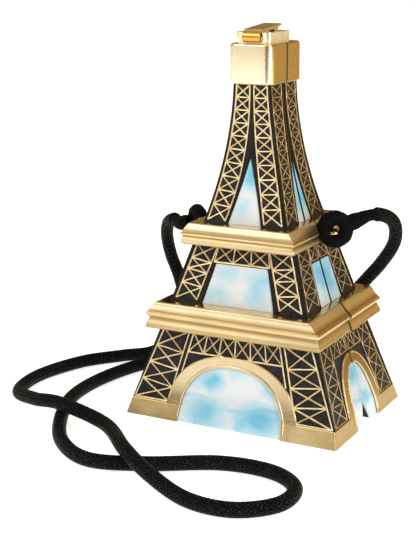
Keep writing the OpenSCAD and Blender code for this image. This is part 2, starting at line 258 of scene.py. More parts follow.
def dress(m, colour, roughness=None, height=None, strength=0.0, depth_mm=0.0):
    """Links a material's colour, roughness and bump, and returns the material."""
    sockets = m.node_tree.nodes["Principled BSDF"].inputs
    feed(m, sockets["Base Color"], colour)
    if roughness is not None:
        feed(m, sockets["Roughness"], roughness)
    if height is not None:
        bump = add_node(m, "Bump", Height=height, Strength=strength, Distance=depth_mm * MM)
        feed(m, sockets["Normal"], bump.outputs["Normal"])
    return m


SEAM_SHADE = (0.10, 0.06, 0.02)
# Height in metres where the painted highlight on the arch bands begins.
HIGHLIGHT_FOOT = 0.008
# How far the painted shade on the side faces goes towards its colour.
SIDE_SHADE_SHARE = 0.92


def brushed_gilt(name, dull, bright, strength=0.2, band_highlight=None, satin=0.24, hollow_shade=None, flank=None):
    """Satin gold plate with fine level brush lines, cloudy tone between dull and bright, tiny pits and a
    painted shadow line at the seam.

    The colour given for the arch bands is a painted highlight above their foot, paler than the feet for the
    brighter reflection the bands catch. The low and the high z in mm, and the tints between them, are painted
    shade: darker gold in the hollows of a moulding. The colour given for the faces that don't look to the
    front or the rear is painted shade on those faces, with the turns at which it starts and is full.
    """
    m = make_material(name, Metallic=1.0)
    place = place_xyz(m)
    tone = vary(m, noise(m, 55, 4), dull, bright)
    # Painted highlight: a paler colour on the arch bands above their foot.
    if band_highlight:
        rise = calc(m, "MULTIPLY", calc(m, "SUBTRACT", place["Z"], HIGHLIGHT_FOOT), 70.0)
        tone = mix(m, ramp(m, rise, [(0.0, 0.0), (1.0, 1.0)]), tone, band_highlight)
    # Painted shade: faces that look to the sides turn towards a darker colour.
    if flank:
        colour, start, full = flank
        ahead = calc(m, "ABSOLUTE", normal_xyz(m)["Y"])
        tone = mix(m, ramp(m, ahead, [(full, SIDE_SHADE_SHARE), (start, 0.0)]), tone, colour)
    # Painted shade: darker gold in the hollows of a moulding, where shade falls.
    if hollow_shade:
        low, high, tints = hollow_shade
        waver = calc(m, "MULTIPLY_ADD", noise(m, 25, 2), 0.0008, -0.0004 - low * MM)
        share = calc(m, "DIVIDE", calc(m, "ADD", place["Z"], waver), (high - low) * MM)
        tone = mix(m, 1.0, tone, ramp(m, share, tints), "MULTIPLY")
    from_seam = calc(m, "MULTIPLY", calc(m, "ABSOLUTE", place["Y"]), 1000.0)
    tone = mix(m, ramp(m, from_seam, [(0.5, 0.0), (0.85, 1.0)]), SEAM_SHADE, tone)
    brush = noise(m, 1, 3, (60, 60, 2600), distortion=0.4)
    pitted = calc(m, "ADD", brush, calc(m, "MULTIPLY", noise(m, 2400, 2), 0.5))
    return dress(m, tone, ramp(m, brush, [(0.25, satin), (0.75, satin + 0.12)]), pitted, strength, 0.03)


def shiny_gilt(name, tone_at, swirls, gloss, strength, metallic=1.0):
    """Polished gold: a base colour, swirls of a size and twist, and a range of gloss."""
    m = make_material(name, Metallic=metallic)
    size, twist = swirls
    swirl = noise(m, size, 3, distortion=twist)
    return dress(m, tone_at(m), vary(m, swirl, *gloss), swirl, strength, 0.02)


def claw_shade_gilt():
    """The lever: champagne gold on its plate, with deep amber painted on its claw as shade."""
    def tone(m):
        # Painted shade: deep amber at the claw in front, fading to champagne further back.
        back = calc(m, "MULTIPLY_ADD", place_xyz(m)["Y"], 900.0, 13.6)
        return ramp(m, back, [(0.0, (0.66, 0.36, 0.085)), (1.0, (0.86, 0.76, 0.52))])

    return shiny_gilt("claw_shade_gilt", tone, (500, 1.5), (0.10, 0.22), 0.15)


def polished_gilt(name, dull, bright, metallic=1.0):
    """Bright gold with faint polishing swirls."""
    return shiny_gilt(name, lambda m: vary(m, noise(m, 120, 3), dull, bright), (700, 2.0), (0.07, 0.16), 0.12,
                      metallic)


def ledge_top_shade_gilt():
    """Polished gold on the flat tops of the ledges, painted darker as shade for the dark surroundings they
    reflect.
    """
    def tone(m):
        return vary(m, noise(m, 90, 4), (0.62, 0.43, 0.14), (0.78, 0.58, 0.26))

    return shiny_gilt("ledge_top_shade_gilt", tone, (500, 1.0), (0.10, 0.2), 0.15)


def lattice_gilt(name, shade_spot, plain, highlight_spot):
    """Gold on the raised lattice lines, with random bright spots painted in as highlights and darker spots as
    shade.
    """
    m = make_material(name, Metallic=0.85)
    light_noise = noise(m, 330, 4)
    # Painted highlight and shade: random bright and dark spots along the lines.
    tone = ramp(m, light_noise, [(0.3, shade_spot), (0.5, plain), (0.7, highlight_spot)])
    return dress(m, tone, vary(m, light_noise, 0.42, 0.26), noise(m, 1500, 3), 0.3, 0.06)


def black_enamel():
    """Charcoal cast ground with a fine sandy grain."""
    m = make_material("black_enamel", Specular_IOR_Level=0.16)
    tone = vary(m, noise(m, 380, 5, roughness=0.7), (0.005, 0.005, 0.006), (0.030, 0.032, 0.037))
    grain = noise(m, 1300, 4, roughness=0.7)
    return dress(m, tone, vary(m, noise(m, 900, 3), 0.34, 0.56), grain, 0.55, 0.10)


def black_band():
    """Glossier black on the raised bands between the lattice columns."""
    m = make_material("black_band", Specular_IOR_Level=0.3)
    tone = vary(m, noise(m, 260, 4), (0.002, 0.002, 0.002), (0.010, 0.010, 0.011))
    return dress(m, tone, vary(m, noise(m, 500, 3), 0.22, 0.40), noise(m, 900, 3), 0.25, 0.05)


# Soft blue clouds in the enamel: sideways place, height, size and strength. Lengths are in millimetres.
FRONT_CLOUDS = [
    (-13, 22, 8, 0.8), (23, 24, 9, 0.6), (3, 30, 5, 0.3), (-15, 4.5, 11, 0.9), (16.5, 7, 11, 1.0),
    (-9, 77.5, 6.5, 0.4), (12, 76, 7, 0.55), (-12, 67.5, 6.5, 0.5), (10, 68.5, 7, 0.5), (1.5, 128, 11, 0.8),
    (-3, 110, 7, 0.35),
]
SIDE_CLOUDS = [
    (-6, 80, 12, 0.7), (5, 71, 13, 0.8), (-3, 131, 14, 0.8), (3, 114, 11, 0.8), (-1, 27, 9, 1.0),
    (5, 13, 7.5, 0.8), (-7, 12, 6, 0.3),
]
CLOUD_SQUEEZE = 0.72
SIDE_SHEET = 0.5
PEARL, PALE_BLUE, SKY_BLUE = (0.74, 0.80, 0.88), (0.42, 0.70, 0.86), (0.16, 0.52, 0.75)


def sky_enamel():
    """Pearly enamel with soft pale-blue clouds, deeper near the ground behind a low hill line.

    The side windows' clouds lie on a sheet of their own, so that they don't show on the front and rear.
    """
    m = make_material("sky_enamel", Roughness=0.16, Coat_Weight=0.6, Coat_Roughness=0.05)
    place = place_xyz(m)
    sideways = calc(m, "GREATER_THAN", calc(m, "ABSOLUTE", normal_xyz(m)["X"]), 0.5)
    across = calc(m, "ADD", calc(m, "MULTIPLY", place["Y"], sideways),
                  calc(m, "MULTIPLY", place["X"], calc(m, "SUBTRACT", 1.0, sideways)))
    ripple = calc(m, "MULTIPLY_ADD", noise(m, 90, 2), 0.009, -0.0045)
    sheet = add_node(m, "CombineXYZ", X=calc(m, "MULTIPLY_ADD", across, CLOUD_SQUEEZE, ripple),
                     Y=calc(m, "MULTIPLY", sideways, SIDE_SHEET), Z=calc(m, "ADD", place["Z"], ripple))
    cover = calc(m, "MULTIPLY_ADD", noise(m, 75, 2, offset=(0.2, 0.1, 0.4)), 0.5, -0.2)
    for clouds, shift in ((FRONT_CLOUDS, 0.0), (SIDE_CLOUDS, SIDE_SHEET)):
        for u, z, size, strength in clouds:
            away = add_node(m, "VectorMath", "DISTANCE")
            feed(m, away.inputs[0], sheet.outputs["Vector"])
            feed(m, away.inputs[1], (u * CLOUD_SQUEEZE * MM, shift, z * MM))
            near = calc(m, "SUBTRACT", 1.0, calc(m, "DIVIDE", away.outputs["Value"], size * MM))
            cover = calc(m, "MULTIPLY_ADD", calc(m, "MAXIMUM", near, 0.0), 1.25 * strength, cover)
    sky = ramp(m, cover, [(0.02, PEARL), (0.5, PALE_BLUE), (1.0, SKY_BLUE)])
    roll = noise(m, 30, 2, (1, 1, 0.001), (0.31, 0.0, 0.0))
    hill_top = calc(m, "MULTIPLY_ADD", roll, 0.014, 0.0065)
    under = calc(m, "MULTIPLY", calc(m, "SUBTRACT", hill_top, place["Z"]), 260.0)
    shade = ramp(m, under, [(0.0, 0.0), (0.3, 0.55), (1.0, 0.1)])
    tint = noise(m, 34, 1, offset=(0.4, 0.1, 0.3))
    sea = ramp(m, tint, [(0.42, (0.14, 0.48, 0.68)), (0.56, (0.52, 0.70, 0.80))])
    return dress(m, mix(m, shade, sky, sea), None, noise(m, 60, 2), 0.08, 0.4)


def lining_cloth():
    """Black twill lining."""
    m = make_material("lining_cloth", Roughness=0.85, Sheen_Weight=0.4, Sheen_Roughness=0.4)
    place = add_node(m, "TexCoord")
    weave = add_node(m, "TexWave", Vector=place.outputs["Object"], Scale=420.0, Distortion=0.6, Detail=2.0)
    weave.bands_direction = "DIAGONAL"
    twill = weave.outputs["Fac"]
    tone = ramp(m, twill, [(0.2, (0.012, 0.012, 0.014)), (0.8, (0.05, 0.05, 0.055))])
    return dress(m, tone, None, twill, 0.6, 0.12)


def spring_steel():
    """Plain drawn steel of the spring, pins and screws."""
    m = make_material("spring_steel", Metallic=1.0)
    return dress(m, vary(m, noise(m, 900, 3), 0.42, 0.6), vary(m, noise(m, 600, 3), 0.2, 0.36))


STRANDS = 12
BRAID_PITCH = 2.3


def braid_height(u, v):
    """Height of a two-over-two braid at strand coordinates, from 0 in a gap to 1 on a crown."""
    a, b = u + v, u - v
    over = (math.floor(a) + math.floor(b)) % 2
    ridge = math.sin(math.pi * ((a if over else b) % 1))
    return ridge ** 0.6 * (0.75 + 0.25 * math.sin(math.pi * ((b if over else a) % 1)))


def braid_uv(m):
    """Round and along the cord, from the map that add_braid_uv lays."""
    uv = add_node(m, "UVMap")
    uv.uv_map = "braid"
    split = add_node(m, "SeparateXYZ", Vector=uv.outputs["UV"])
    return split.outputs["X"], split.outputs["Y"]


def hump(m, value):
    """0 at every whole number and 1 halfway between."""
    return calc(m, "SINE", calc(m, "MULTIPLY", calc(m, "FRACT", value), math.pi))


def black_braid():
    """Black braided cord: each crossing strand is a small crown with fine threads, painted darker in the gaps
    as shade, with pale specks on the crowns as painted glints.
    """
    m = make_material("black_braid", Specular_IOR_Level=0.035)
    u, v = braid_uv(m)
    a, b = calc(m, "ADD", u, v), calc(m, "SUBTRACT", u, v)
    cells = calc(m, "ADD", calc(m, "FLOOR", a), calc(m, "FLOOR", b))
    over = calc(m, "FLOORED_MODULO", cells, 2.0)
    height = calc(m, "ADD", calc(m, "MULTIPLY", hump(m, a), over),
                  calc(m, "MULTIPLY", hump(m, b), calc(m, "SUBTRACT", 1.0, over)))
    threads = noise(m, 2600, 2)
    # Painted shade: the strands are darker in the gaps between their crowns.
    gap_shaded_strands = ramp(m, height, [(0.3, (0.0006, 0.0006, 0.0007)), (0.95, (0.008, 0.0083, 0.0095))])
    # Painted glints: pale specks on the crowns of the strands.
    painted_glints = ramp(m, noise(m, 1900, 1), [(0.60, 0.0), (0.70, 1.0)])
    tone = mix(m, calc(m, "MULTIPLY", painted_glints, height), gap_shaded_strands, (0.08, 0.08, 0.084))
    relief = calc(m, "MULTIPLY_ADD", threads, 0.25, height)
    return dress(m, tone, vary(m, threads, 0.26, 0.5), relief, 1.0, 0.45)


def served_thread():
    """Fine black thread wound tightly round the necks and eyes of the strap, painted darker between its turns
    as shade.
    """
    m = make_material("served_thread", Specular_IOR_Level=0.05)
    u, v = braid_uv(m)
    turn = hump(m, calc(m, "MULTIPLY", calc(m, "MULTIPLY_ADD", u, 0.05, v), 3.2))
    fuzz = noise(m, 1800, 3)
    # Painted shade: the thread is darker in the grooves between its turns.
    tone = ramp(m, turn, [(0.1, (0.001, 0.001, 0.001)), (0.9, (0.006, 0.006, 0.007))])
    return dress(m, tone, vary(m, fuzz, 0.48, 0.75), calc(m, "MULTIPLY_ADD", fuzz, 0.4, turn), 0.8, 0.14)


# ---- strap

# The strap's route from the left eye over the floor and behind the base to the right eye, in metres.
ROUTE = [
    (-0.055, 0.009, 0.0925), (-0.0635, 0.0155, 0.0926), (-0.072, 0.0235, 0.088), (-0.0773, 0.031, 0.0785),
    (-0.079, 0.038, 0.066), (-0.077, 0.0433, 0.052), (-0.0755, 0.048, 0.033), (-0.0805, 0.049, 0.0155),
    (-0.093, 0.040, 0.0048), (-0.107, 0.027, 0.0037), (-0.122, 0.007, 0.0037), (-0.130, -0.024, 0.0037),
    (-0.1225, -0.053, 0.005), (-0.102, -0.0665, 0.0082), (-0.081, -0.073, 0.0112), (-0.0485, -0.0815, 0.0086),
    (-0.019, -0.110, 0.0112), (0.002, -0.1225, 0.0074), (0.026, -0.1315, 0.0039), (0.049, -0.1315, 0.0037),
    (0.0645, -0.1175, 0.0037), (0.0635, -0.099, 0.0037), (0.0465, -0.0875, 0.0037), (0.020, -0.089, 0.0037),
    (-0.011, -0.1055, 0.0037), (-0.038, -0.113, 0.0037), (-0.062, -0.0995, 0.0037), (-0.081, -0.073, 0.0037),
    (-0.094, -0.042, 0.0037), (-0.0945, -0.006, 0.0037), (-0.083, 0.029, 0.0037), (-0.058, 0.054, 0.0038),
    (-0.030, 0.063, 0.0044), (-0.007, 0.061, 0.011), (0.033, 0.0525, 0.0575), (0.047, 0.0475, 0.0735),
    (0.056, 0.0415, 0.087), (0.0585, 0.033, 0.099), (0.055, 0.0225, 0.105), (0.048, 0.013, 0.104),
]
CORD_RADIUS, CORD_RELIEF = 3.46, 0.14
CORD_SIDES, SERVED_SIDES = 48, 28
SPAN_STEPS = 60
EYE_STEPS = 72
THREADS_ROUND = 8
NECK_REACH = 8.0

# The point each end of the strap leads to, and each eye's centre, turn in degrees, half width, half
# height and thickness.
EYE_CENTRE = {LEFT: Vector((-40.22, 5.77, 97.0)), RIGHT: Vector((40.22, 5.77, 98.8))}
EYE_LOOKS = {LEFT: (Vector((-44.0, 7.0, 94.9)), 36, 5.2, 6.0, 3.2),
             RIGHT: (Vector((38.4, 2.9, 99.6)), 20, 5.45, 5.7, 3.65)}


def curve_point(a, b, c, d, t):
    """The point at t between b and c of a smooth curve through four points."""
    return (2 * b + (c - a) * t + (2 * a - 5 * b + 4 * c - d) * t * t + (3 * b - a - 3 * c + d) * t ** 3) / 2


def cord_path():
    """The strap's middle line in millimetres, leaving each eye in line with its served neck."""
    p = [Vector(q) / MM for q in ROUTE]
    start_dir = (p[0] - EYE_CENTRE[LEFT]).normalized()
    end_dir = (EYE_CENTRE[RIGHT] - p[-1]).normalized()
    before = p[1] - 2 * (p[1] - p[0]).length * start_dir
    after = p[-2] + 2 * (p[-1] - p[-2]).length * end_dir
    q = [before, *p, after]
    path = [curve_point(*q[i:i + 4], k / SPAN_STEPS) for i in range(len(p) - 1) for k in range(SPAN_STEPS)]
    return path + [p[-1]]


def path_length(path):
    return sum((b - a).length for a, b in zip(path, path[1:]))


def swept(path, radius_at, relief_at=None, sides=CORD_SIDES):
    """A tube of changing radius along path; returns its rows of points and each row's distance along it."""
    rows, distances, run = [], [], 0.0
    n = len(path)
    normal = Vector((0.1, 0.2, 1))
    for i, here in enumerate(path):
        tangent = (path[min(i + 1, n - 1)] - path[max(i - 1, 0)]).normalized()
        normal = (normal - normal.dot(tangent) * tangent).normalized()
        other = tangent.cross(normal)
        if i:
            run += (here - path[i - 1]).length
        row = []
        for k in range(sides):
            angle = 2 * math.pi * k / sides
            r = radius_at(run) + (relief_at(k / sides, run) if relief_at else 0.0)
            row.append(here + r * (math.cos(angle) * normal + math.sin(angle) * other))
        rows.append(row)
        distances.append(run)
    return rows, distances


def add_braid_uv(piece, distances, sides, around, pitch, ring_count):
    """Lays a UV map round and along a swept tube, for the braid and thread materials."""
    layer = piece.data.uv_layers.new(name="braid")
    for polygon in piece.data.polygons:
        corners = list(zip(polygon.loop_indices, polygon.vertices))
        columns = [v % sides for _, v in corners]
        wraps = max(columns) - min(columns) > sides / 2
        for (loop, vertex), column in zip(corners, columns):
            if vertex >= ring_count * sides:
                continue
            turn = column + sides if wraps and column < sides / 2 else column
            layer.data[loop].uv = (turn / sides * around, distances[vertex // sides] / pitch)


def make_strap(material):
    """The braid, thin inside its served necks and a little swollen where it leaves them."""
    path = cord_path()
    total = path_length(path)

    def radius(run):
        reach = min(run, total - run)
        swell = min(1.0, max(0.0, (reach - NECK_REACH) / 1.3))
        bulge = 0.18 * math.exp(-((reach - NECK_REACH - 2.2) / 1.2) ** 2)
        return lerp(2.45, CORD_RADIUS, math.sin(swell * math.pi / 2)) + bulge

    def relief(turn, run):
        return CORD_RELIEF * braid_height(turn * STRANDS, run / BRAID_PITCH)

    rows, distances = swept(path, radius, relief)
    rows = [[(x, y, max(z, 0.0)) for x, y, z in row] for row in rows]
    cord = lofted(rows, "braided_strap", "rear_half", [material], "black_cord", 80)
    add_braid_uv(cord, distances, CORD_SIDES, STRANDS, BRAID_PITCH, len(rows))
    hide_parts("strap_cord")
    return cord, path


def make_eye(side, material):
    """The oval served eye that holds a ring."""
    centre, turn, half_wide, half_tall, thick = EYE_LOOKS[side]
    outward = Vector((side * math.cos(math.radians(turn)), math.sin(math.radians(turn)), 0))
    loop = []
    for i in range(EYE_STEPS):
        angle = 2 * math.pi * i / EYE_STEPS
        loop.append(centre + half_wide * math.cos(angle) * outward
                    + half_tall * math.sin(angle) * Vector((0, 0, 1)))
    across = Vector((-outward.y, outward.x, 0))
    build = Build()
    rows, distances, run = [], [], 0.0
    for i in range(EYE_STEPS + 1):
        here, ahead = loop[i % EYE_STEPS], loop[(i + 1) % EYE_STEPS]
        tangent = (ahead - loop[(i - 1) % EYE_STEPS]).normalized()
        other = tangent.cross(across)
        inward = (1 - math.cos(2 * math.pi * i / EYE_STEPS)) / 2
        lump = 1 + 0.03 * math.sin(0.8 * i) + 0.02 * math.sin(2.1 * i) + 0.17 * inward
        angles = [2 * math.pi * k / SERVED_SIDES for k in range(SERVED_SIDES)]
        rows.append([here + thick * lump * (math.cos(a) * across + math.sin(a) * other) for a in angles])
        distances.append(run)
        run += (ahead - here).length
    build.loft(rows, caps=False)
    eye = build.make(HAND[side] + "_served_eye", "rear_half", [material], "black_cord", 80)
    add_braid_uv(eye, distances, SERVED_SIDES, THREADS_ROUND, 1.0, len(rows))
    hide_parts(HAND[side] + "_cord_eye")
    return eye


def make_neck(side, path, material):
    """The served neck between an eye and the braid."""
    centre = EYE_LOOKS[side][0]
    trunk = path if side == LEFT else path[::-1]
    start = trunk[0]
    first = [centre + (start - centre) * t for t in (0.42, 0.5, 0.6, 0.7, 0.8, 0.9)]
    run, tail = 0.0, []
    for a, b in zip(trunk, trunk[1:]):
        tail.append(a)
        run += (b - a).length
        if run > NECK_REACH + 0.6:
            break
    middle = first + tail[::2]
    total = path_length(middle)

    def radius(here):
        t = here / total
        body = lerp(4.25, 3.0, min(1.0, max(0.0, (t - 0.3) / 0.45)))
        return body - (0.5 * max(0.0, (t - 0.94) / 0.06) ** 2) + 0.05 * math.sin(here * 5)

    rows, distances = swept(middle, radius, sides=SERVED_SIDES)
    neck = lofted(rows, HAND[side] + "_served_neck", "rear_half", [material], "black_cord", 80)
    add_braid_uv(neck, distances, SERVED_SIDES, THREADS_ROUND, 1.0, len(rows))
    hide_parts(HAND[side] + "_whipping")
    return neck


# ---- tower faces

# Each level of a stage: height, half width and half depth.
BASE_LEVELS = [(0, 59.4, 43.4), (8.5, 57.4, 40), (BASE_TOP, 43.5, 32.9)]
MIDDLE_LEVELS = [(MIDDLE_LOW, 38, 31.9), (MIDDLE_TOP, 28.4, 24.4)]


def spire_share(z):
    """1 at the foot of the spire and 0 at its top."""
    return max(0.0, (SPIRE_TOP - z) / (SPIRE_TOP - SPIRE_LOW))


def spire_w(z):
    return 9.9 + 12.8 * spire_share(z) ** 1.55


def spire_d(z):
    return 15.2 + 8.8 * spire_share(z) ** 2.6


SPIRE_LEVELS = [(z, spire_w(z), spire_d(z)) for z in [lerp(SPIRE_LOW, SPIRE_TOP, i / 10) for i in range(11)]]


class Face:
    """One face of a stage. across is x on the front and rear, and y on the left and right."""

    def __init__(self, levels, axis, sign):
        self.levels, self.axis, self.sign = levels, axis, sign

    def point(self, across, z, lift):
        if self.axis == "y":
            return (across, self.sign * (along(self.levels, z, 2) + lift), z)
        return (self.sign * (along(self.levels, z, 1) + lift), across, z)


# The raised gold lines: width, height, share of both on the sides, unevenness and the tilt of cross bars.
LINE_W, LINE_H = 0.88, 0.5
SIDE_WIDTH, SIDE_HEIGHT = 0.72, 0.6
WOBBLE, EDGE_WOBBLE = 0.11, 0.07
BAR_TILT = 0.42
LINE_GAP = LINE_W / 2 - 0.05

# How deep a raised piece is rooted in its face, and a bar's section: sideways place, root and rise.
ROOT = -0.25
RIDGE = [
    (-0.5, ROOT, 0), (-0.42, 0.0, 0.6), (-0.2, 0.0, 1.0), (0.2, 0.0, 1.0), (0.42, 0.0, 0.6), (0.5, ROOT, 0),
]


def ridge(build, face, points, width, height, lift=0.0, wobble=0.0, longest=3.5):
    """A rounded raised bar that follows a face through points (across, z), finer at the sides and painted
    darker there as shade.
    """
    shaded = face.axis == "x" and not lift
    if shaded:
        width, height = width * SIDE_WIDTH, height * SIDE_HEIGHT
    spots = []
    for (u0, z0), (u1, z1) in zip(points, points[1:]):
        count = max(1, math.ceil(math.hypot(u1 - u0, z1 - z0) / longest))
        spots += [(lerp(u0, u1, k / count), lerp(z0, z1, k / count)) for k in range(count)]
    spots.append(points[-1])
    if wobble:
        width *= draw.uniform(1 - 1.5 * wobble, 1 + wobble)
        spots = [(u + draw.uniform(-wobble, wobble) * 0.5, z + draw.uniform(-wobble, wobble) * 0.5)
                 for u, z in spots]
    rows = []
    for i, (u, z) in enumerate(spots):
        u0, z0 = spots[max(i - 1, 0)]
        u1, z1 = spots[min(i + 1, len(spots) - 1)]
        size = math.hypot(u1 - u0, z1 - z0)
        side_u, side_z = -(z1 - z0) / size * width, (u1 - u0) / size * width
        rows.append([face.point(u + s * side_u, z + s * side_z, lift + root + rise * height)
                     for s, root, rise in RIDGE])
    # Bars on the side faces take the second material, gold painted darker as shade.
    build.loft(rows, slot=int(shaded))


def band(build, face, left, right, z0, z1, height, steps=12):
    """A raised flat band with eased edges, between two edges that are functions of height."""
    ease = 0.35
    rows = []
    for i in range(steps + 1):
        z = lerp(z0, z1, i / steps)
        a, b = left(z), right(z)
        s = math.copysign(min(ease, abs(b - a) / 2.5), b - a)
        edge = [(0, ROOT), (s * 0.3, height * 0.7), (s, height)]
        rows.append([face.point(a + u, z, lift) for u, lift in edge]
                    + [face.point(b - u, z, lift) for u, lift in reversed(edge)])
    build.loft(rows)


def corner_band(build, levels, x_sign, y_sign, front_edge, side_edge, z0, z1, height, steps=14):
    """The raised black arris of a corner, from a line on the front face round to one on the side face."""
    rows = []
    for i in range(steps + 1):
        z = lerp(z0, z1, i / steps)
        w, d = along(levels, z, 1), along(levels, z, 2)
        fu, su = min(front_edge(z), w - 0.5), min(side_edge(z), d - 0.5)
        ease = 0.3
        plan = [(fu, d + ROOT), (fu + ease * 0.4, d + height * 0.7), (fu + ease, d + height),
                (w - 0.25, d + height), (w + height * 0.66, d + height * 0.66), (w + height, d - 0.25),
                (w + height, su + ease), (w + height * 0.7, su + ease * 0.4), (w + ROOT, su),
                (w - 1.2, d - 1.2)]
        rows.append([(x_sign * x, y_sign * y, z) for x, y in plan])
    build.loft(rows)


def column(build, face, outer, inner, nodes, sign, foot_bar):
    """A lattice column: two border lines, an X in each cell and a bar between cells."""
    top, foot = nodes[0], nodes[-1]

    def ends(z):
        """The outer and inner end of a bar at height z, nearly square to the leaning column."""
        lean = (outer(z - 1) + inner(z - 1) - outer(z + 1) - inner(z + 1)) / 4
        rise = 0.0 if z in (top, foot) else BAR_TILT * (outer(z) - inner(z)) * lean / 2
        return (sign * outer(z + rise), z + rise), (sign * inner(z - rise), z - rise)

    for edge in (outer, inner):
        zs = [lerp(foot, top, i / 16) for i in range(17)]
        ridge(build, face, [(sign * edge(z), z) for z in zs], LINE_W, LINE_H, wobble=EDGE_WOBBLE)
    for high, low in zip(nodes, nodes[1:]):
        oh, ih = ends(high)
        ol, il = ends(low)
        ridge(build, face, [oh, il], LINE_W * 0.95, LINE_H * 0.92, wobble=WOBBLE)
        ridge(build, face, [ih, ol], LINE_W * 0.95, LINE_H, wobble=WOBBLE)
    for z in nodes[1:] if foot_bar else nodes[1:-1]:
        ridge(build, face, list(ends(z)), LINE_W * 0.9, LINE_H * 0.85, wobble=WOBBLE)


def frieze(build, face, places, low, high, flare):
    """A row of X cells with uprights between them and a bar along the bottom."""
    for a, b in zip(places, places[1:]):
        la, lb = a * (1 + flare), b * (1 + flare)
        ridge(build, face, [(a, high), (lb, low)], LINE_W * 0.9, LINE_H * 0.92, wobble=WOBBLE)
        ridge(build, face, [(b, high), (la, low)], LINE_W * 0.9, LINE_H, wobble=WOBBLE)
    for u in places:
        ridge(build, face, [(u, high), (u * (1 + flare), low)], LINE_W * 0.85, LINE_H * 0.85, wobble=WOBBLE)
    ends = [u * (1 + flare) for u in (places[0], places[-1])]
    ridge(build, face, [(ends[0], low), (ends[1], low)], LINE_W, LINE_H * 0.9, wobble=0.08)


# Heights between the cells of the columns.
BASE_NODES = [46.2, 36, 27, 17.7, 8.9]
MIDDLE_NODES = [91.2, 83.2, 77.7, 70.6, 63.3]
MIDDLE_SIDE_NODES = [91.2, 84.2, 77.9, 70.8, 63.4]
SPIRE_CELLS, CELL_GROWTH = 10, 1.02


def spire_nodes():
    """Cell heights that grow a little from the collar down to the ledge."""
    sizes = [CELL_GROWTH ** i for i in range(SPIRE_CELLS)]
    top, foot = 172.2, 104.2
    nodes, z = [top], top
    for size in sizes:
        z -= (top - foot) * size / sum(sizes)
        nodes.append(z)
    return nodes


def moved(edge, by, sign):
    """An edge moved outwards, on one side of the middle."""
    return lambda z: sign * (edge(z) + by)


def share_line(top, low, power):
    """A curved edge on the spire: its sideways place as a function of height."""
    return lambda z: top + (low - top) * spire_share(z) ** power


def face_lines(stage, axis):
    """The outer and inner border lines of a stage's columns on a front or side face."""
    if stage == "base":
        if axis == "y":
            return line(44, 42.8, 8.8, 56.6), line(44, 27.5, 8.5, 36.6)
        return line(44, 29.5, 9.7, 37.6), line(43, 17.7, 9.7, 23)
    if stage == "middle":
        if axis == "y":
            return line(89.5, 26.9, 63.5, 35.5), line(89.4, 15.1, 63.5, 23.4)
        return line(89, 22.5, 63, 28.5), line(89, 10.6, 63, 14.8)
    if axis == "y":
        return (lambda z: spire_w(z) - 1.5), share_line(1.1, 11.3, 2.1)
    return (lambda z: spire_d(z) - lerp(1.6, 3.2, spire_share(z))), share_line(2.75, 9.4, 2.2)


BASE_BANDS_TOP, SPIRE_BANDS_TOP = 47.4, 172.4

# Each stage's levels, and the foot and top of its black bands.
STAGES = {"base": (BASE_LEVELS, 8.5, BASE_BANDS_TOP), "middle": (MIDDLE_LEVELS, 61.9, 92.3),
          "spire": (SPIRE_LEVELS, 103.1, SPIRE_BANDS_TOP)}


def make_lattice(side, gold, shaded_side_gold, black):
    """All raised gold lines and black bands of one half."""
    lines, bands = Build(), Build()
    nodes = {"base": BASE_NODES, "middle": MIDDLE_NODES, "spire": spire_nodes()}
    for stage, (levels, low, high) in STAGES.items():
        face = Face(levels, "y", side)
        outer, inner = face_lines(stage, "y")
        for s in SIDES:
            column(lines, face, outer, inner, nodes[stage], s, foot_bar=stage == "base")
        side_outer, side_inner = face_lines(stage, "x")
        side_nodes = MIDDLE_SIDE_NODES if stage == "middle" else nodes[stage]
        for s in SIDES:
            flank = Face(levels, "x", s)
            column(lines, flank, side_outer, side_inner, side_nodes, side, foot_bar=stage == "base")
            corner_band(bands, levels, s, side, moved(outer, LINE_GAP, 1), moved(side_outer, LINE_GAP, 1),
                        low, high, 0.38)
        inside_bands(lines, bands, face, side, stage, inner, side_inner, levels)
    places = [lerp(-24.3, 24.3, i / 6) for i in range(7)]
    frieze(lines, Face(BASE_LEVELS, "y", side), places, 36, 46.2, 0.109)
    frieze(lines, Face(MIDDLE_LEVELS, "y", side), [-14, -4.6, 4.6, 14], 83.2, 91.2, 0.12)
    for s in SIDES:
        frieze(lines, Face(BASE_LEVELS, "x", s), [side * u for u in (0.9, 8.6, 16.4)], 37.5, 46.2, 0.05)
    for s in SIDES:
        frieze(lines, Face(MIDDLE_LEVELS, "x", s), [side * u for u in (0.9, 9.4)], 84.6, 91.2, 0.08)
    half = HALF[side]
    # The second material, for the side faces, is gold painted darker as shade.
    lines.make(half + "_lattice_lines", BODY[side], [gold, shaded_side_gold], "brushed_gilt", 50)
    bands.make(half + "_black_bands", BODY[side], [black], "black_enamel", 50)


